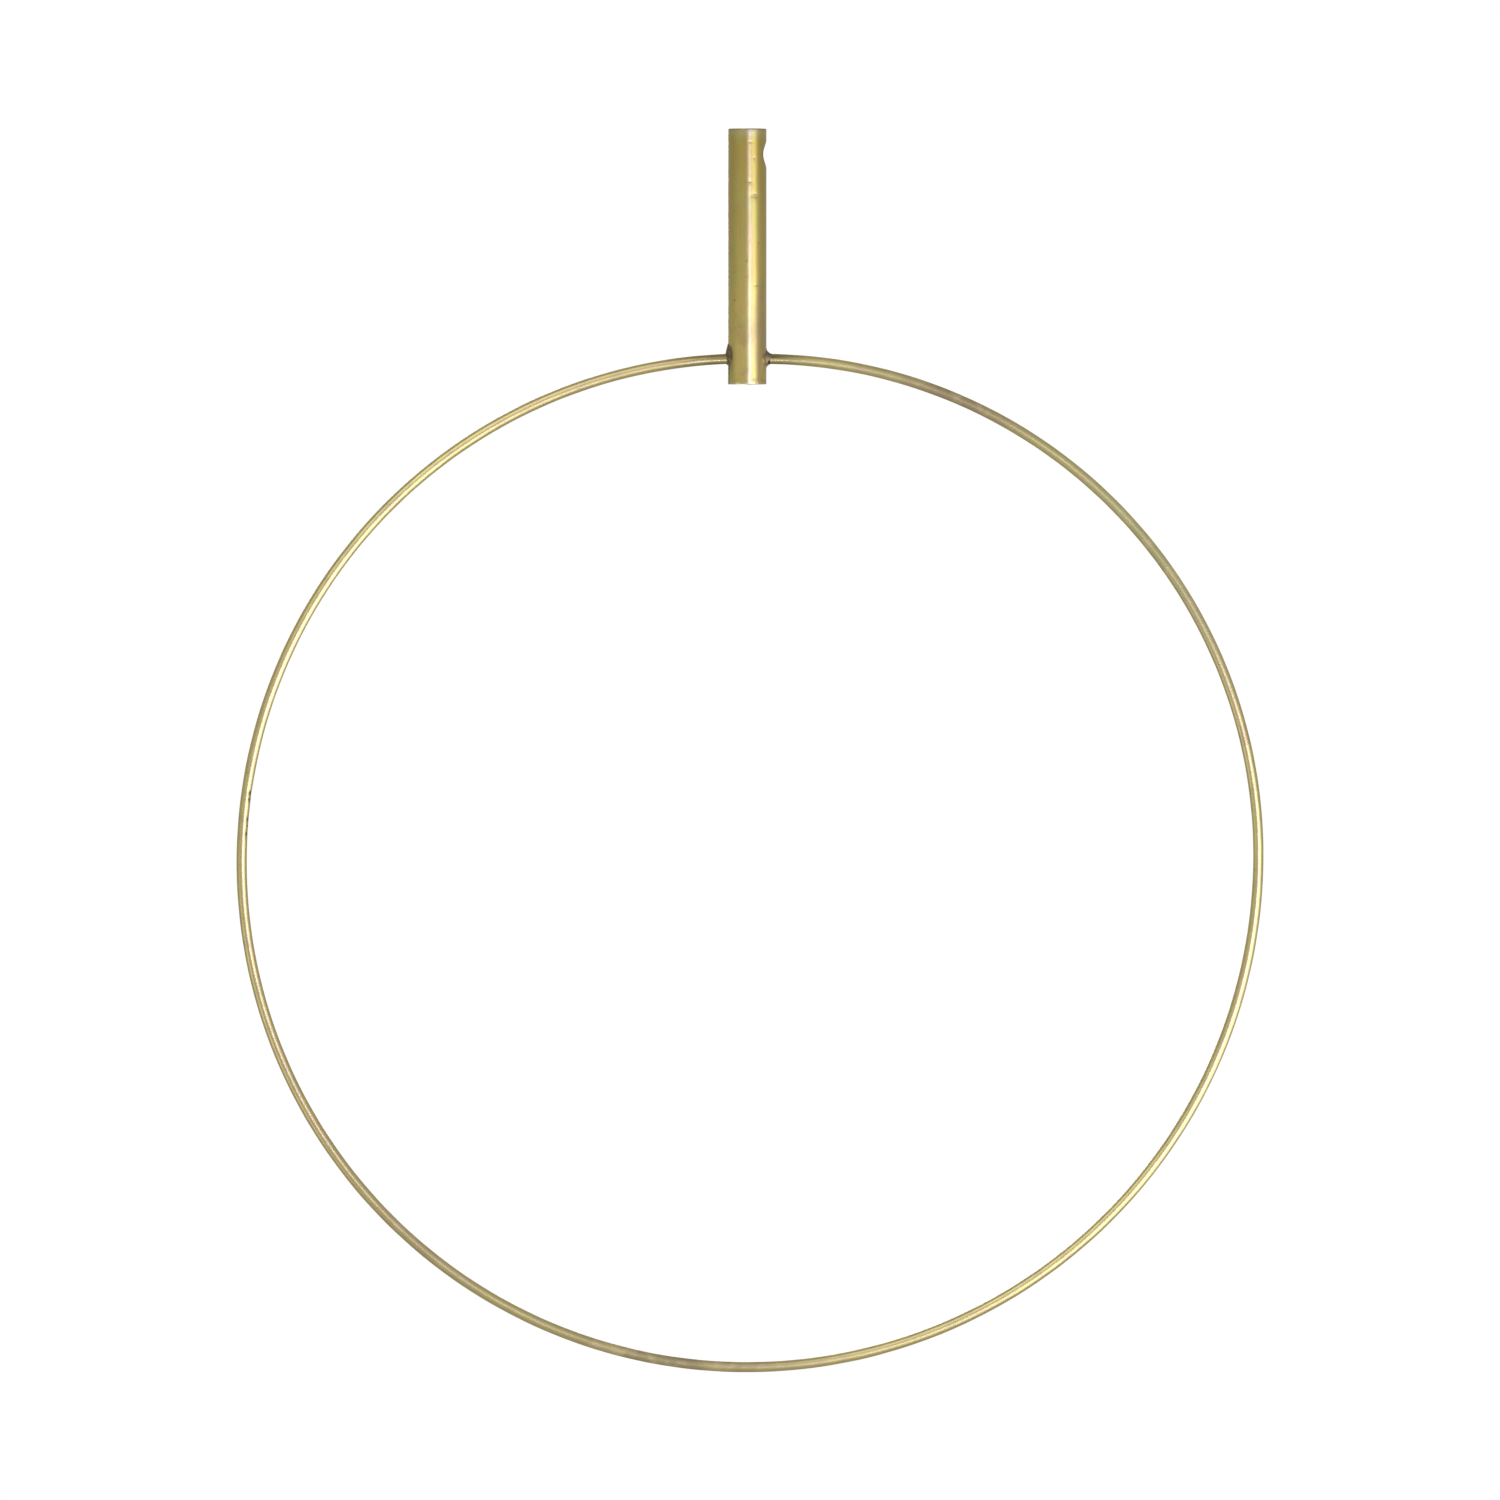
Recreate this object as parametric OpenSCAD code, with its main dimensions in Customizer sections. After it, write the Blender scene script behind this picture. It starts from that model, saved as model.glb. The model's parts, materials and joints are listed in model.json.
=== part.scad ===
// Wreath frame: a ring of round brass rod brazed to both sides of a hollow hanger tube.
// Millimetres. +Z is up, the ring hangs in the XZ plane, and the front faces -Y.
// The origin is the centre of the tube's top rim, on the tube's axis.

/* [Ring] */
// Width of the ring over the rod
ring_w = 400; // [250:10:500]
// Diameter of the rod
rod_d = 4; // [3:0.5:5]
// How far the middle of the ring stands to the right of the tube
ring_shift = 1.1; // [0.1:0.1:2]
// Fall of the rod where it leaves the right side of the tube, in degrees
right_fall = 0.5; // [0.5:0.5:3]
// Fall of the rod where it leaves the left side of the tube, in degrees
left_fall = 2; // [0.5:0.5:3]

/* [Hanger tube] */
// Outside diameter of the tube
tube_d = 15; // [14:1:18]
// Thickness of the tube's wall
tube_wall = 1; // [0.8:0.1:1.5]
// Length of the tube
tube_l = 99.5; // [80:0.5:130]
// Length of tube below the middle of the rod
tube_tail = 9.9; // [8:0.1:14]

/* [Hang hole] */
// Diameter of the cross hole, which goes through one wall only
hole_d = 12; // [6:1:12]
// Depth of the hole's centre below the top rim
hole_drop = 10; // [10:1:20]
// Turn of the hole from the right side towards the back, in degrees
hole_turn = 20; // [0:5:90]

/* [Brazing] */
// Radius of the bead's hollow flank at the right joint
right_bead_r = 2.4; // [1.5:0.1:3]
// Radius of the bead's hollow flank at the left joint
left_bead_r = 2.6; // [1.5:0.1:3]
// How far the left bead sits above the middle of the rod
left_bead_lift = 1.2; // [0:0.1:1.5]

/* [Hidden] */

brass = [0.70, 0.62, 0.36];
dark_brass = [0.60, 0.53, 0.32];
braze_brown = [0.38, 0.31, 0.20];

rod_r = rod_d / 2;
tube_r = tube_d / 2;
bore_r = tube_r - tube_wall;
over = 1;                         // how far a cutter runs past what it cuts
round_fine = 96;
round_ring = 360;

steps_per_mm = 50;

// A length worked to a whole step, so that arcs which meet share one end face.
function set_out(v) = round(v * steps_per_mm) / steps_per_mm;

// The ring is four tangent arcs, two to a side. An upper arc runs from the tube to the ring's
// widest point, and a lower arc closes the ring at the bottom.
joint_z = tube_tail - tube_l;
half_w = (ring_w - rod_d) / 2;
right_reach = half_w + ring_shift;
left_reach = half_w - ring_shift;
right_upper_r = set_out((right_reach - tube_r) / (1 - sin(right_fall)));
left_upper_r = set_out((left_reach - tube_r) / (1 - sin(left_fall)));
right_z = set_out(joint_z - right_upper_r * cos(right_fall));
left_z = set_out(joint_z - left_upper_r * cos(left_fall));
right_lower_r = half_w + (right_z - left_z) / 2;
left_lower_r = half_w - (right_z - left_z) / 2;
into_tube = 1.2;                  // degrees of arc that run on under the tube's wall

// A bead's section, as shares of its hollow flank's radius.
bead_rise = 0.86;                 // how far the bead climbs the tube from the rod
bead_run = 0.82;                  // how far the bead runs out along the rod
flank_rise = 0.95;                // the flank's centre, from the rod's surface
flank_run = 0.9;                  // the flank's centre, from the tube's side
bead_wrap = 1.6;                  // how far a bead reaches in round the tube's curve

// A stretch of rod bent in the XZ plane, from one angle above +X to another.
module bent_rod(x, z, r, from, to) {
    translate([x, 0, z])
        rotate([90, 0, 0])
            rotate([0, 0, from])
                rotate_extrude(angle = to - from, $fn = round_ring)
                    translate([r, 0])
                        circle(r = rod_r, $fn = round_fine);
}

// One side of the ring, drawn on the right. reach is how far out its widest point stands.
module ring_side(reach, z, upper_r, lower_r, fall) {
    bent_rod(reach - upper_r, z, upper_r, 0, 90 - fall + into_tube);
    bent_rod(reach - lower_r, z, lower_r, 270, 360);
}

// The whole bent rod, with both ends still running into the tube.
module rod_blank() {
    ring_side(right_reach, right_z, right_upper_r, right_lower_r, right_fall);
    mirror([1, 0, 0])
        ring_side(left_reach, left_z, left_upper_r, left_lower_r, left_fall);
}

// The space that the tube fills, bore included.
module tube_envelope() {
    translate([0, 0, -tube_l - over])
        cylinder(r = tube_r, h = tube_l + 2 * over, $fn = round_fine);
}

// A flared bead around the rod, before the tube and the rod are taken out of it.
// side is 1 on the right and -1 on the left.
module bead_blank(side, flank_r, lift) {
    rim_r = rod_r + bead_rise * flank_r;
    reach = bead_wrap + bead_run * flank_r;
    translate([side * (tube_r - bead_wrap), 0, joint_z + lift])
        rotate([0, side * 90, 0])
            rotate_extrude($fn = round_fine)
                difference() {
                    square([rim_r, reach]);
                    translate([rod_r + flank_rise * flank_r, bead_wrap + flank_run * flank_r])
                        circle(r = flank_r, $fn = round_fine);
                }
}

module hanger_tube() {
    color(brass)
        difference() {
            translate([0, 0, -tube_l])
                cylinder(r = tube_r, h = tube_l, $fn = round_fine);
            translate([0, 0, -tube_l - over])
                cylinder(r = bore_r, h = tube_l + 2 * over, $fn = round_fine);
            translate([0, 0, -hole_drop])
                rotate([0, 90, hole_turn])
                    cylinder(d = hole_d, h = tube_r + over, $fn = round_fine);
        }
}

module ring_rod() {
    color(dark_brass)
        difference() {
            rod_blank();
            tube_envelope();
        }
}

module braze_left() {
    color(braze_brown)
        difference() {
            bead_blank(-1, left_bead_r, left_bead_lift);
            tube_envelope();
            rod_blank();
        }
}

module braze_right() {
    color(braze_brown)
        difference() {
            bead_blank(1, right_bead_r, 0);
            tube_envelope();
            rod_blank();
        }
}

hanger_tube();
ring_rod();
braze_left();
braze_right();
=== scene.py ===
import json
import math

import bmesh
import bpy
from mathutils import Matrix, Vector, noise


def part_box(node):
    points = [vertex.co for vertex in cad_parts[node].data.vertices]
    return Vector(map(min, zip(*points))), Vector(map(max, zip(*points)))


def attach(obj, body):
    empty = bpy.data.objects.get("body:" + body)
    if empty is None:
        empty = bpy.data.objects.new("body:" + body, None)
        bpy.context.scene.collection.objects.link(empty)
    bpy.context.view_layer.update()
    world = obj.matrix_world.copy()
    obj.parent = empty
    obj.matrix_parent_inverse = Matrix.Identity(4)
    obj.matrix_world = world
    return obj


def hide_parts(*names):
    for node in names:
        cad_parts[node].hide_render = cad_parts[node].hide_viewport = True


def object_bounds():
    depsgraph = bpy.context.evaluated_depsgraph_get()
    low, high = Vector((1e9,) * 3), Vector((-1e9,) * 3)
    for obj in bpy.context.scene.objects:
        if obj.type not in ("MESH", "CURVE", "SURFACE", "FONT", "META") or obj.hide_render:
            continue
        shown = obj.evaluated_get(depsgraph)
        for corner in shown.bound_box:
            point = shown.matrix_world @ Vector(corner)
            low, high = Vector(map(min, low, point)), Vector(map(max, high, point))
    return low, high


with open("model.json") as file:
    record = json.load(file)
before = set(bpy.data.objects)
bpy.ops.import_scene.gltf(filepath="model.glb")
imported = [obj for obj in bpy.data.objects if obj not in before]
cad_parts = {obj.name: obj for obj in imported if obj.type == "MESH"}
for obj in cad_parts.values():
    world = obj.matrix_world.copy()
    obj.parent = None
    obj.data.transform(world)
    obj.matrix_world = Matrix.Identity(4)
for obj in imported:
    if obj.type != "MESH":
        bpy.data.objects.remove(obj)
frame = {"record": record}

cad_low, cad_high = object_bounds()


# The studio. The frame hangs in front of a plain white wall, above a pale floor. Round softboxes
# light it: the small key and a broad one from the right, a low one, a card on each side, a fill
# from the upper left and one behind.
lens = 600.0
sensor = 36.0
picture_width = 0.58425
camera_lift = 0.0002
middle = (cad_low + cad_high) / 2
camera_place = (middle.x, -picture_width * lens / sensor, middle.z + camera_lift)
softbox_away = 2.4
floor_width = 12.0
floor_drop = 0.45

bpy.ops.object.select_all(action="DESELECT")
bpy.ops.object.camera_add(location=camera_place, rotation=(math.radians(90), 0, 0))
camera = bpy.context.object
camera.name = "camera"
camera.data.lens = lens
camera.data.sensor_width = sensor
camera.data.clip_end = 50
bpy.context.scene.camera = camera
bpy.context.scene.view_settings.view_transform = "Standard"


def hang_softbox(name, clock, off, spread, glow, colour):
    """A round softbox, off degrees from the camera's line and towards that angle of a clock's hand."""
    side = math.sin(math.radians(off))
    toward = Vector((side * math.sin(math.radians(clock)), -math.cos(math.radians(off)),
                     side * math.cos(math.radians(clock))))
    bpy.ops.object.light_add(type="AREA", location=middle + toward * softbox_away,
                             rotation=toward.to_track_quat("Z", "Y").to_euler())
    softbox = bpy.context.object
    softbox.name = name
    softbox.data.shape = "DISK"
    radius = softbox_away * math.tan(math.radians(spread))
    softbox.data.size = 2 * radius
    softbox.data.energy = glow * 4 * math.pi * radius ** 2
    softbox.data.color = colour
    softbox.visible_camera = False


hang_softbox("key_softbox", clock=93, off=15, spread=6.5, glow=3.9, colour=(0.97, 0.91, 2.3))
hang_softbox("broad_softbox", clock=118, off=44, spread=26, glow=1.6, colour=(1.0, 0.98, 0.97))
hang_softbox("low_softbox", clock=168, off=24, spread=5, glow=2.2, colour=(1.0, 0.98, 0.95))
hang_softbox("left_card", clock=250, off=62, spread=15, glow=0.60, colour=(1.0, 0.97, 0.92))
hang_softbox("right_card", clock=117, off=84, spread=18, glow=0.55, colour=(1.0, 0.97, 0.92))
hang_softbox("fill_softbox", clock=328, off=46, spread=22, glow=0.75, colour=(1.0, 0.97, 0.92))
hang_softbox("rear_softbox", clock=330, off=166, spread=12, glow=2.0, colour=(1.0, 0.98, 0.97))

bpy.ops.mesh.primitive_plane_add(size=floor_width, location=(middle.x, 0, cad_low.z - floor_drop))
floor = bpy.context.object
floor.name = "floor"
floor.visible_glossy = False
floor.visible_diffuse = False
floor.visible_shadow = False


class Shade:
    """A socket of a shader tree. Sums and products of shades add their own Math nodes."""

    def __init__(self, tree, socket=None):
        self.tree = tree
        self.socket = socket

    def node(self, kind, settings=None, sockets=None, out=0):
        """Adds a node of that type: its settings first, then the values or links of its sockets."""
        made = self.tree.nodes.new(kind)
        for name, value in (settings or {}).items():
            setattr(made, name, value)
        for name, value in (sockets or {}).items():
            if isinstance(value, Shade):
                self.tree.links.new(value.socket, made.inputs[name])
            else:
                made.inputs[name].default_value = value
        return Shade(self.tree, made.outputs[out] if made.outputs else None)

    def math(self, operation, first, second=0.0):
        return self.node("ShaderNodeMath", {"operation": operation}, {0: first, 1: second})

    def __add__(self, other):
        return self.math("ADD", self, other)

    def __sub__(self, other):
        return self.math("SUBTRACT", self, other)

    def __rsub__(self, other):
        return self.math("SUBTRACT", other, self)

    def __mul__(self, other):
        return self.math("MULTIPLY", self, other)

    def __truediv__(self, other):
        return self.math("DIVIDE", self, other)

    __radd__ = __add__
    __rmul__ = __mul__

    def band(self, start, end):
        """0 at start and 1 at end, with a soft step between."""
        return self.node("ShaderNodeMapRange", {"interpolation_type": "SMOOTHSTEP"},
                         {0: self, 1: start, 2: end})

    def blend(self, below, above):
        """The colour below where this is 0, and the colour above where it is 1."""
        return self.node("ShaderNodeMix", {"data_type": "RGBA"}, {0: self, 6: below, 7: above}, out=2)


def new_material(name):
    """A material with an empty tree, and the first shade to build it from."""
    material = bpy.data.materials.new(name)
    material.use_nodes = True
    material.node_tree.nodes.clear()
    return material, Shade(material.node_tree)


# the room: the camera sees the white wall, and the metal mirrors a warm dim room
world = bpy.data.worlds.new("studio")
bpy.context.scene.world = world
world.use_nodes = True
world.node_tree.nodes.clear()
air = Shade(world.node_tree)
look = air.node("ShaderNodeTexCoord")
frontness = air.node("ShaderNodeVectorMath", {"operation": "DOT_PRODUCT"},
                     {0: look, 1: (0, -1, 0)}, out=1)
room_colour = frontness.band(-1.0, 1.0).blend((0.36, 0.34, 0.27, 1), (0.39, 0.365, 0.29, 1))
room = air.node("ShaderNodeBackground", sockets={"Color": room_colour})
wall = air.node("ShaderNodeBackground", sockets={"Color": (1, 1, 1, 1), "Strength": 1.02})
seen = air.node("ShaderNodeLightPath")
air.node("ShaderNodeOutputWorld", sockets={
    "Surface": air.node("ShaderNodeMixShader", sockets={0: seen, 1: room, 2: wall})})


def floor_paint():
    """Plain pale paint with a faint roller texture. Its own faint glow keeps it evenly pale."""
    material, paint = new_material("floor_paint")
    place = paint.node("ShaderNodeTexCoord", out=3)
    roller = paint.node("ShaderNodeTexNoise", sockets={"Vector": place, "Scale": 90.0, "Detail": 4.0})
    surface = paint.node("ShaderNodeBsdfPrincipled", sockets={
        "Base Color": roller.blend((0.26, 0.26, 0.26, 1), (0.30, 0.30, 0.30, 1)),
        "Roughness": 0.6 + 0.15 * roller,
        "Emission Color": (1.0, 1.0, 0.99, 1), "Emission Strength": 0.62})
    paint.node("ShaderNodeOutputMaterial", sockets={"Surface": surface})
    return material


floor.data.materials.append(floor_paint())


# The hanger tube. A length of drawn brass tube with a lacquered antique patina, sawn square at both
# ends and lightly rubbed down. A drill from the side has gone through one wall near its top.
tube_low, tube_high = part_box("hanger_tube")
tube_r = tube_high.x
tube_length = tube_high.z - tube_low.z
bore_r = next(m["dims"]["r_mm"] for m in frame["record"]["mounts"] if m["name"] == "tube_bore") / 1000
tube_tail = 0.0099
tube_sides = 96
body_rings = 160
smooth_corner = math.radians(40)
tiny = 1e-5
hole_r = 0.006
hole_z = -0.010
hole_turn = math.radians(20)
# the grid round the hole reaches this far up and round, and its inner rings are cut out
patch_rings = 21
rim_rings = 8
patch_high = 0.009
patch_turn = patch_rings * math.tau / tube_sides


def edit_select(piece, kind, choose):
    """In edit mode, selects only the verts, edges or faces of the piece that choose says yes to."""
    bpy.context.tool_settings.mesh_select_mode = (kind == "verts", kind == "edges", kind == "faces")
    shape = bmesh.from_edit_mesh(piece.data)
    bpy.ops.mesh.select_all(action="DESELECT")
    for item in getattr(shape, kind):
        item.select = choose(item)
    shape.select_flush_mode()
    bmesh.update_edit_mesh(piece.data)


def edge_heights(edge):
    """The lower and the upper height of an edge's ends."""
    return sorted(v.co.z for v in edge.verts)


def add_rings(piece, top, bottom, cuts):
    """Cuts the lengthwise edges that run from top down to bottom."""
    def lengthwise(edge):
        low, high = edge_heights(edge)
        return abs(low - bottom) < tiny and abs(high - top) < tiny
    edit_select(piece, "edges", lengthwise)
    bpy.ops.mesh.subdivide(number_cuts=cuts)


def place_on_patch(co):
    """Where a point lies on the patch round the hole: sideways and upwards, -1 to 1 at its edges."""
    turn = math.remainder(math.atan2(co.y, co.x) - hole_turn, math.tau)
    return turn / patch_turn, (co.z - hole_z) / patch_high


def open_patch(co):
    """Moves a point of the patch outwards, so that the patch's inner ring lies on the drilled hole."""
    across, up = place_on_patch(co)
    ring = max(abs(across), abs(up))
    if ring > 1 + 1e-6 or ring < 1e-6:
        return co
    r = math.hypot(co.x, co.y)
    edge_across = across / ring
    edge_up = up / ring
    if abs(edge_up) >= abs(edge_across):
        around = math.pi / 4 * edge_across / edge_up + (0 if edge_up > 0 else math.pi)
    else:
        around = math.pi / 2 - math.pi / 4 * edge_up / edge_across + (0 if edge_across > 0 else math.pi)
    inner = rim_rings / patch_rings
    share = (ring - inner) / (1 - inner)
    hole_across = math.asin(hole_r * math.sin(around) / r) / patch_turn
    hole_up = hole_r * math.cos(around) / patch_high
    turn = (hole_across + (edge_across - hole_across) * share) * patch_turn + hole_turn
    z = (hole_up + (edge_up - hole_up) * share) * patch_high + hole_z
    return Vector((r * math.cos(turn), r * math.sin(turn), z))


bpy.ops.object.select_all(action="DESELECT")
bpy.ops.mesh.primitive_cylinder_add(vertices=tube_sides, radius=tube_r, depth=tube_length,
                                    end_fill_type="NOTHING", location=(0, 0, -tube_length / 2),
                                    rotation=(0, 0, hole_turn))
tube = bpy.context.object
tube.name = "brass_hanger_tube"
bpy.ops.object.transform_apply()
bpy.ops.object.mode_set(mode="EDIT")
patch_top = hole_z + patch_high
patch_bottom = hole_z - patch_high
for height in (patch_top, patch_bottom):
    bpy.ops.mesh.select_all(action="SELECT")
    bpy.ops.mesh.bisect(plane_co=(0, 0, height), plane_no=(0, 0, 1))
add_rings(tube, 0, patch_top, 1)
add_rings(tube, patch_top, patch_bottom, 2 * patch_rings - 1)
add_rings(tube, patch_bottom, -tube_length, body_rings)


def in_hole(face):
    across, up = place_on_patch(face.calc_center_median())
    return max(abs(across), abs(up)) < rim_rings / patch_rings


edit_select(tube, "faces", in_hole)
bpy.ops.mesh.delete(type="FACE")

# the inner wall, then the hole in both walls, and the rims between them
bpy.ops.mesh.select_all(action="SELECT")
bpy.ops.mesh.duplicate()
bpy.ops.transform.resize(value=(bore_r / tube_r, bore_r / tube_r, 1))
bpy.ops.mesh.flip_normals()
shape = bmesh.from_edit_mesh(tube.data)
for v in shape.verts:
    v.co = open_patch(v.co)
bmesh.update_edit_mesh(tube.data)
for low, high in ((-tiny, 1), (patch_bottom, patch_top), (-1, tiny - tube_length)):
    edit_select(tube, "edges", lambda e: e.is_boundary and low < edge_heights(e)[0] < high)
    bpy.ops.mesh.bridge_edge_loops()
bpy.ops.object.mode_set(mode="OBJECT")


def hand_worn(co, size, depth, seed):
    """How far a hand-worked surface stands proud at a point, in waves of about that size."""
    return depth * noise.noise(co / size + Vector((seed, seed, seed)))


# marks that handling has left on the front: sideways place, height, width and height of each
scuffs = (
    (0.0055, -0.0061, 0.0007, 0.0007),
    (0.0013, -0.0053, 0.0018, 0.0005),
    (0.0028, -0.0116, 0.0009, 0.0010),
    (0.0004, -0.0210, 0.0038, 0.0011),
    (0.0031, -0.0264, 0.0038, 0.0026),
    (0.0046, -0.0446, 0.0008, 0.0007),
    (-0.0004, -0.0517, 0.0009, 0.0009),
    (-0.0003, -0.0577, 0.0012, 0.0014),
    (0.0038, -0.0612, 0.0034, 0.0009),
)
scuff_depth = 0.00005
rim_wear = 0.001

for v in tube.data.vertices:
    out = Vector((v.co.x, v.co.y, 0)).normalized()
    for x, z, wide, high in scuffs:
        gap = math.hypot((v.co.x - x) / wide, (v.co.z - z) / high)
        if gap < 0.6 and v.co.y < 0 and v.co.xy.length > (bore_r + tube_r) / 2:
            v.co -= out * scuff_depth * (1 - gap)
    v.co += out * hand_worn(v.co, 0.012, 0.00003, 3.1)
    at_rim = max(0.0, 1 - min(-v.co.z, v.co.z + tube_length) / rim_wear)
    v.co += out * at_rim * hand_worn(v.co, 0.002, 0.00006, 7.7)


def finish_edges(piece, width, steps, corner):
    """Rounds every corner sharper than that, and shades the rest smooth."""
    bevel = piece.modifiers.new("rubbed_edges", "BEVEL")
    bevel.width = width
    bevel.segments = steps
    bevel.limit_method = "ANGLE"
    bevel.angle_limit = math.radians(corner)
    bpy.ops.object.select_all(action="DESELECT")
    bpy.context.view_layer.objects.active = piece
    piece.select_set(True)
    bpy.ops.object.modifier_apply(modifier=bevel.name)
    bpy.ops.object.shade_smooth_by_angle(angle=smooth_corner)


finish_edges(tube, width=0.00014, steps=3, corner=20)


def object_place(shade):
    """Where each point of the piece lies, in metres."""
    return shade.node("ShaderNodeTexCoord", out=3)


def mottle(place, size, detail=3.0, stretch=(1, 1, 1)):
    """Soft random cloud, 0 to 1, with spots of about that size in metres."""
    point = place.node("ShaderNodeMapping", sockets={"Vector": place, "Scale": stretch})
    return place.node("ShaderNodeTexNoise", sockets={
        "Vector": point, "Scale": 1 / size, "Detail": detail, "Roughness": 0.6})


def near(place, point, reach):
    """1 at a point and 0 at that reach from it."""
    gap = place.node("ShaderNodeVectorMath", {"operation": "DISTANCE"}, {0: place, 1: point}, out=1)
    return gap.band(reach, 0.0)


def pits(place, spacing, size):
    """1 in small scattered pits, and 0 between them."""
    gap = place.node("ShaderNodeTexVoronoi", sockets={"Vector": place, "Scale": 1 / spacing})
    return gap.band(size / spacing, 0.4 * size / spacing)


def oval(place, x, z, wide, high):
    """1 in the middle of an oval on the front or back, and 0 outside it."""
    spot = place.node("ShaderNodeMapping", sockets={
        "Vector": place, "Location": (-x / wide, 0, -z / high), "Scale": (1 / wide, 0, 1 / high)})
    size = place.node("ShaderNodeVectorMath", {"operation": "LENGTH"}, {0: spot}, out=1)
    return size.band(0.5, 0.3)


joint_z = tube_low.z + tube_tail
left_joint = (-tube_r, 0, joint_z)
right_joint = (tube_r, 0, joint_z)
lacquer_ior = 1.8


def tube_brass():
    """Drawn tube: olive brown, lighter towards the bottom, with streaks, scuffs, pits and torch stains."""
    material, brass = new_material("tube_brass")
    place = object_place(brass)
    sideways = brass.node("ShaderNodeSeparateXYZ", sockets={0: place})
    height = brass.node("ShaderNodeSeparateXYZ", sockets={0: place}, out=2)
    front = brass.node("ShaderNodeSeparateXYZ", sockets={0: place}, out=1).band(0.0, -0.001)
    cloud = mottle(place, 0.008, stretch=(1, 1, 0.45))
    blotch = mottle(place, 0.0055, stretch=(1, 1, 0.6))
    streak = mottle(place, 0.0011, stretch=(1, 1, 0.05))
    grain = mottle(place, 0.0003, detail=1.0)
    speck = mottle(place, 0.0006)

    # lighter towards the bottom and darker towards the top
    colour = height.band(-tube_length, 0).blend((0.84, 0.70, 0.22, 1), (0.62, 0.49, 0.10, 1))
    colour = cloud.band(0.42, 0.70).blend(colour, (0.60, 0.60, 0.17, 1))
    colour = (blotch.band(0.48, 0.75) * 0.8).blend(colour, (0.66, 0.46, 0.20, 1))
    colour = (streak.band(0.50, 0.85) * 0.7).blend(colour, (0.60, 0.44, 0.18, 1))
    colour = (height.band(-0.0050, -0.0010) * 0.6).blend(colour, (0.66, 0.62, 0.36, 1))
    top_rim = height.band(-0.0008, -0.0003) * speck.band(0.3, 0.6)
    colour = top_rim.blend(colour, (0.36, 0.31, 0.22, 1))
    low_rim = height.band(0.0012 - tube_length, 0.0005 - tube_length) * speck.band(0.25, 0.6)
    colour = (low_rim * 0.7).blend(colour, (0.80, 0.75, 0.55, 1))

    cross = brass.node("ShaderNodeMapping", sockets={
        "Vector": place, "Location": (0, 0, -hole_z), "Rotation": (0, 0, -hole_turn)})
    across = brass.node("ShaderNodeVectorMath", {"operation": "MULTIPLY"}, {0: cross, 1: (0, 1, 1)})
    outward = brass.node("ShaderNodeSeparateXYZ", sockets={0: cross}).band(0.0, 0.001)
    reach = brass.node("ShaderNodeVectorMath", {"operation": "LENGTH"}, {0: across}, out=1)
    lining = reach.band(hole_r + 0.0006, hole_r + 0.0001) * outward
    colour = (lining * 0.85).blend(colour, (0.30, 0.18, 0.09, 1))

    stain = (near(place, left_joint, 0.008) * 0.9 + near(place, right_joint, 0.0065) * 0.8) * (0.5 + cloud)
    edge = sideways.band(0.0011 - tube_r, 0.0004 - tube_r)
    edge_stain = edge * height.band(joint_z + 0.0061, joint_z + 0.0016)
    foot = oval(place, 0.0011 - tube_r, joint_z + 0.0016, 0.0024, 0.0090) * 0.4
    between = oval(place, 0.0003 - tube_r, joint_z + 0.0018, 0.0032, 0.0090) * 0.6
    stain = stain + edge_stain * 0.7 + foot + between
    colour = stain.blend(colour, (0.20, 0.14, 0.08, 1))
    warm = oval(place, 0.0048, joint_z + 0.0096, 0.0062, 0.0500) * (0.3 + 0.6 * blotch)
    colour = warm.blend(colour, (0.58, 0.42, 0.24, 1))

    worn = oval(place, 0.0040, 0.0010 - tube_length, 0.0100, 0.0030) * speck.band(0.45, 0.60)
    for scuff in scuffs:
        worn = worn + oval(place, *scuff) * speck.band(0.35, 0.55)
    worn = worn * front
    colour = (worn * 0.8).blend(colour, (0.36, 0.27, 0.09, 1))
    holes = pits(place, 0.0045, 0.0006) * mottle(place, 0.008).band(0.45, 0.65)
    colour = (holes * 0.5).blend(colour, (0.16, 0.12, 0.05, 1))

    relief = streak * 0.4 + grain * 0.25 - holes * 1.5 - worn
    bump = brass.node("ShaderNodeBump", sockets={"Strength": 0.35, "Distance": 0.00004, "Height": relief})
    surface = brass.node("ShaderNodeBsdfPrincipled", sockets={
        "Base Color": colour, "Metallic": 1.0,
        "Roughness": 0.29 + 0.08 * cloud + 0.2 * stain + 0.2 * worn,
        "Normal": bump, "Coat Weight": 1.0, "Coat Roughness": 0.23, "Coat IOR": lacquer_ior})
    brass.node("ShaderNodeOutputMaterial", sockets={"Surface": surface})
    return material


tube.data.materials.append(tube_brass())
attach(tube, "root")
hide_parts("hanger_tube")


# The ring. One length of drawn brass rod, bent by hand into a hoop a little wider on the right. Its
# two ends are filed to the tube's curve and meet it from both sides.
rod_low, rod_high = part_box("ring_rod")
rod_r = rod_high.y
rod_sides = 40
right_fall = math.radians(0.5)
left_fall = math.radians(2)
right_reach = rod_high.x - rod_r
left_reach = -rod_low.x - rod_r
right_upper_r = (right_reach - tube_r) / (1 - math.sin(right_fall))
left_upper_r = (left_reach - tube_r) / (1 - math.sin(left_fall))
right_z = joint_z - right_upper_r * math.cos(right_fall)
left_z = joint_z - left_upper_r * math.cos(left_fall)
half_width = (right_reach + left_reach) / 2
right_lower_r = half_width + (right_z - left_z) / 2
left_lower_r = half_width - (right_z - left_z) / 2
into_tube = math.radians(0.2)
cope_depth = 0.0002
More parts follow.
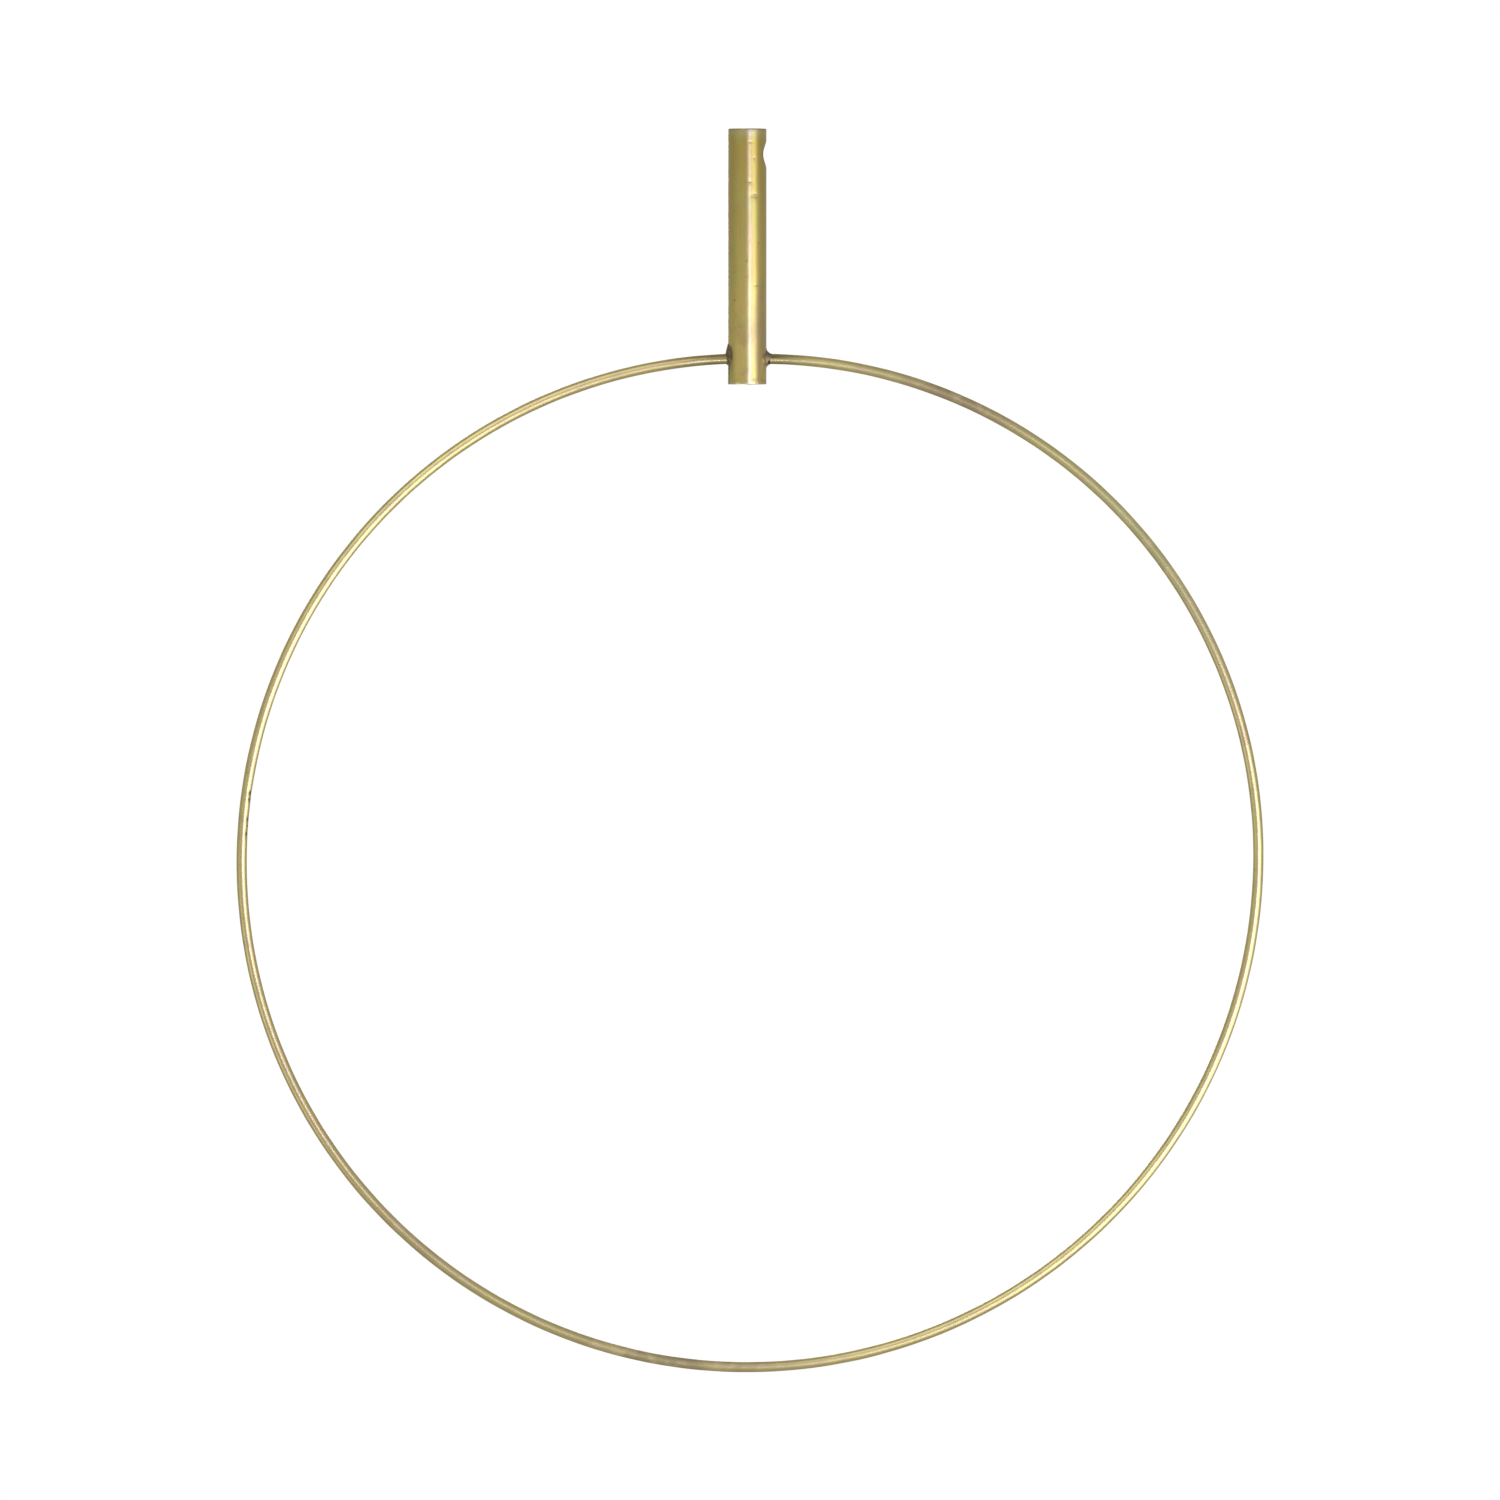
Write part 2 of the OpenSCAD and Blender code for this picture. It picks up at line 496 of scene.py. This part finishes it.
# the four bends, in order: the centre's place, the radius, and the angles from the top
bends = (
    (right_reach - right_upper_r, right_z, right_upper_r, right_fall - into_tube, math.pi / 2),
    (right_reach - right_lower_r, right_z, right_lower_r, math.pi / 2, math.pi),
    (left_lower_r - left_reach, left_z, left_lower_r, math.pi, 1.5 * math.pi),
    (left_upper_r - left_reach, left_z, left_upper_r, 1.5 * math.pi, math.tau - left_fall + into_tube),
)
steps_per_bend = 280

bpy.ops.object.select_all(action="DESELECT")
x, z, r, start, end = bends[0]
bpy.ops.mesh.primitive_circle_add(vertices=rod_sides, radius=rod_r,
                                  location=(x + r * math.sin(start), 0, z + r * math.cos(start)),
                                  rotation=(0, math.pi / 2 + start, 0))
rod = bpy.context.object
rod.name = "brass_ring_rod"
bpy.ops.object.transform_apply()
bpy.ops.object.mode_set(mode="EDIT")
bpy.ops.mesh.select_all(action="SELECT")
for x, z, r, start, end in bends:
    bpy.ops.mesh.spin(steps=steps_per_bend, angle=start - end, center=(x, 0, z), axis=(0, 1, 0))
edit_select(rod, "edges", lambda e: e.is_boundary)
bpy.ops.mesh.edge_face_add()
bpy.ops.mesh.select_all(action="SELECT")
bpy.ops.mesh.remove_doubles(threshold=1e-6)
bpy.ops.mesh.normals_make_consistent(inside=False)
bpy.ops.object.mode_set(mode="OBJECT")


def bend_of(co):
    """The centre and the radius of the bend that a point of the rod belongs to."""
    right = co.x > right_reach - right_lower_r
    upper = co.z > (right_z if right else left_z)
    x, z, r, start, end = bends[(0 if upper else 1) if right else (3 if upper else 2)]
    return Vector((x, 0, z)), r


# small nicks on the ring's inner edge, low on its left, and how far round each one reaches
nicks = (
    ((-0.1935, -0.0008, -0.2587), 0.0016),
    ((-0.1940, -0.0010, -0.2612), 0.0010),
    ((-0.1945, -0.0008, -0.2690), 0.0011),
    ((-0.1947, -0.0006, -0.2716), 0.0009),
    ((-0.1949, -0.0008, -0.2745), 0.0013),
)
nick_depth = 0.0004

for v in rod.data.vertices:
    centre, r = bend_of(v.co)
    spoke = Vector((v.co.x - centre.x, 0, v.co.z - centre.z)).normalized()
    out = (v.co - centre - spoke * r).normalized()
    v.co += out * hand_worn(v.co, 0.010, 0.00005, 1.9)
    for point, nick_reach in nicks:
        gap = math.dist(v.co, point) / nick_reach
        if gap < 1:
            v.co -= out * nick_depth * (1 - gap)
    if abs(v.co.x) < tube_r and v.co.z > middle.z:
        v.co.x = math.copysign(math.sqrt((tube_r - cope_depth) ** 2 - v.co.y ** 2), v.co.x)

bpy.ops.object.shade_smooth_by_angle(angle=smooth_corner)


def outside(place, bend):
    """How far a point lies outside the middle of a bend, in metres."""
    x, z, r, start, end = bend
    flat = place.node("ShaderNodeVectorMath", {"operation": "MULTIPLY"}, {0: place, 1: (1, 0, 1)})
    gap = place.node("ShaderNodeVectorMath", {"operation": "DISTANCE"}, {0: flat, 1: (x, 0, z)}, out=1)
    return gap - r


def highlight_line_mask(place, bend):
    """1 along a line just inside the middle of a bend, where a highlight is painted on the rod."""
    height = outside(place, bend)
    return height.band(-0.0014, -0.0008) * height.band(0.0005, -0.0001)


def rod_brass():
    """Drawn rod: satin brass, olive here and brown there, mottled, and darkened near the torch except
    along a painted highlight.
    """
    material, brass = new_material("rod_brass")
    place = object_place(brass)
    drift = mottle(place, 0.11, detail=1.0)
    cloud = mottle(place, 0.010)
    blotch = mottle(place, 0.005)
    grain = mottle(place, 0.0008, stretch=(0.15, 1, 1))
    fine = mottle(place, 0.0003, detail=1.0)
    colour = drift.band(0.35, 0.65).blend((0.80, 0.73, 0.30, 1), (0.78, 0.66, 0.30, 1))
    olive = near(place, (0.155, 0, -0.165), 0.085)
    brown = near(place, (0.080, 0, -0.105), 0.055) + near(place, (-0.030, 0, -0.480), 0.085)
    brown = brown + near(place, (-0.125, 0, -0.440), 0.055) * 0.6
    dull = olive + brown
    colour = (olive * 0.8).blend(colour, (0.40, 0.40, 0.18, 1))
    colour = (brown * 0.9).blend(colour, (0.34, 0.28, 0.15, 1))
    colour = (cloud.band(0.42, 0.72) * 0.7).blend(colour, (0.62, 0.58, 0.26, 1))
    colour = (blotch.band(0.48, 0.75) * 0.6).blend(colour, (0.70, 0.52, 0.32, 1))
    left_heat = near(place, left_joint, 0.034)
    right_heat = near(place, right_joint, 0.024)
    heat = left_heat + right_heat
    # painted highlight: near each joint the torch's darkening is left off along a line just inside the
    # rod's middle
    painted_highlight = left_heat * highlight_line_mask(place, bends[3]) + right_heat * highlight_line_mask(place, bends[0])
    burn = (left_heat + 0.75 * right_heat - 0.85 * painted_highlight) * (0.5 + 0.5 * grain.band(0.3, 0.7))
    colour = burn.blend(colour, (0.34, 0.27, 0.13, 1))
    # the painted highlight is coloured pale cream
    colour = (painted_highlight * 0.8).blend(colour, (0.98, 0.88, 0.55, 1))
    holes = pits(place, 0.006, 0.0006) * mottle(place, 0.02).band(0.5, 0.7)
    for point, nick_reach in nicks:
        holes = holes + near(place, point, nick_reach) * (0.6 + fine)
    colour = holes.blend(colour, (0.08, 0.07, 0.03, 1))
    relief = grain * (0.5 + 0.8 * heat) + fine * 0.3 - holes * 1.5
    bump = brass.node("ShaderNodeBump", sockets={"Strength": 0.35, "Distance": 0.00005, "Height": relief})
    surface = brass.node("ShaderNodeBsdfPrincipled", sockets={
        "Base Color": colour, "Metallic": 1.0 - 0.6 * dull,
        "Roughness": 0.34 + 0.08 * cloud + 0.10 * dull - 0.20 * heat,
        "Normal": bump, "Coat Weight": 1.0 - 0.5 * dull - 0.7 * heat, "Coat Roughness": 0.32,
        "Coat IOR": lacquer_ior})
    brass.node("ShaderNodeOutputMaterial", sockets={"Surface": surface})
    return material


rod.data.materials.append(rod_brass())
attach(rod, "root")
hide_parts("ring_rod")


# The brazing. A bead of brazing metal at each joint has run up the tube and out along the rod, and
# holds the two together. It is left as the torch left it: brown, uneven and pitted.
bead_steps = 72
bead_points = 24
ring_away = 1.4 * rod_r
ring_thick = 0.4 * rod_r
sunk = 0.0004


def bead_point(side, around, minor, legs, full, seed):
    """The outer half of the ring's section is the hollow flank, and the inner half hides in the metal."""
    up_leg, down_leg, front_leg, rod_leg_up, rod_leg_down = legs
    upness = 0.5 + 0.5 * math.cos(around)
    sideness = abs(math.sin(around))
    leg = down_leg + (up_leg - down_leg) * upness
    leg += (front_leg - leg) * sideness ** 2
    rod_leg = rod_leg_down + (rod_leg_up - rod_leg_down) * upness
    wobble = 1 + 0.25 * noise.noise(Vector((3 * math.cos(around), 3 * math.sin(around), seed)))
    leg *= wobble
    rod_leg *= 2 - wobble
    # minor runs from 0 (away from the rod, at the tube) through 90 degrees (out along the rod)
    share = (minor + math.pi / 4) / math.pi % 2
    foot_away = rod_r + leg
    if share <= 1:
        # the hollow flank, from the foot on the tube to the foot on the rod
        start = Vector((0.0, foot_away))
        turn = Vector((full * rod_leg, rod_r + full * leg))
        stop = Vector((rod_leg, rod_r))
        spot = start * (1 - share) ** 2 + turn * 2 * share * (1 - share) + stop * share ** 2
    else:
        back = share - 1
        if back < 0.5:
            spot = Vector((rod_leg * (1 - 2 * back) - sunk * 2 * back, rod_r - sunk))
        else:
            spot = Vector((-sunk, rod_r - sunk + (foot_away - rod_r + sunk) * (2 * back - 1)))
    y = spot[1] * math.sin(around)
    x = math.sqrt(max(tube_r ** 2 - min(abs(y), tube_r) ** 2, 0)) + spot[0]
    place = Vector((side * x, y, joint_z + spot[1] * math.cos(around)))
    if 0.02 < share < 0.98:
        place += Vector((side, 0, 0)) * hand_worn(place, 0.0009, 0.00018, seed)
    return place


def run_bead(name, joint, legs, full, seed):
    """A fillet round the rod where it meets the tube. The legs say how far it has run up, down and
    forward on the tube, and out along the rod's top and underside. full says how well its flank is
    filled: 0.5 is flat, and less is hollow."""
    side = math.copysign(1, joint[0])
    bpy.ops.object.select_all(action="DESELECT")
    bpy.ops.mesh.primitive_torus_add(major_segments=bead_steps, minor_segments=bead_points,
                                     major_radius=ring_away, minor_radius=ring_thick,
                                     location=joint, rotation=(0, side * math.pi / 2, 0))
    bead = bpy.context.object
    bead.name = name
    bpy.ops.object.transform_apply()
    for v in bead.data.vertices:
        away = math.hypot(v.co.y, v.co.z - joint_z)
        around = math.atan2(v.co.y, v.co.z - joint_z)
        minor = math.atan2(side * v.co.x - tube_r, away - ring_away)
        v.co = bead_point(side, around, minor, legs, full, seed)
    bpy.ops.object.mode_set(mode="EDIT")
    bpy.ops.mesh.select_all(action="SELECT")
    bpy.ops.mesh.normals_make_consistent(inside=False)
    bpy.ops.object.mode_set(mode="OBJECT")
    bpy.ops.object.shade_smooth_by_angle(angle=math.radians(60))
    return bead


left_bead = run_bead("left_braze_bead", left_joint,
                     legs=(0.0042, 0.0005, 0.0015, 0.0009, 0.0006), full=0.50, seed=5.3)
right_bead = run_bead("right_braze_bead", right_joint,
                      legs=(0.0020, 0.0015, 0.0010, 0.0021, 0.0017), full=0.22, seed=8.9)


def braze_metal():
    """Brazing metal: brown scale over dull brass, with black pits left by the flux."""
    material, metal = new_material("braze_metal")
    place = object_place(metal)
    scale = mottle(place, 0.0012)
    grain = mottle(place, 0.0004)
    colour = scale.band(0.35, 0.7).blend((0.22, 0.17, 0.12, 1), (0.42, 0.35, 0.22, 1))
    holes = pits(place, 0.0011, 0.0004)
    holes = holes + oval(place, tube_r + 0.0012, joint_z - 0.0013, 0.0018, 0.0016)
    colour = holes.blend(colour, (0.05, 0.035, 0.02, 1))
    relief = scale + 0.6 * grain - holes * 1.5
    bump = metal.node("ShaderNodeBump", sockets={"Strength": 0.6, "Distance": 0.00008, "Height": relief})
    surface = metal.node("ShaderNodeBsdfPrincipled", sockets={
        "Base Color": colour, "Metallic": 0.9, "Roughness": 0.42 + 0.2 * scale, "Normal": bump})
    metal.node("ShaderNodeOutputMaterial", sockets={"Surface": surface})
    return material


braze_finish = braze_metal()
for bead, node in ((left_bead, "braze_left"), (right_bead, "braze_right")):
    bead.data.materials.append(braze_finish)
    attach(bead, "root")
    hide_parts(node)


bpy.context.view_layer.update()
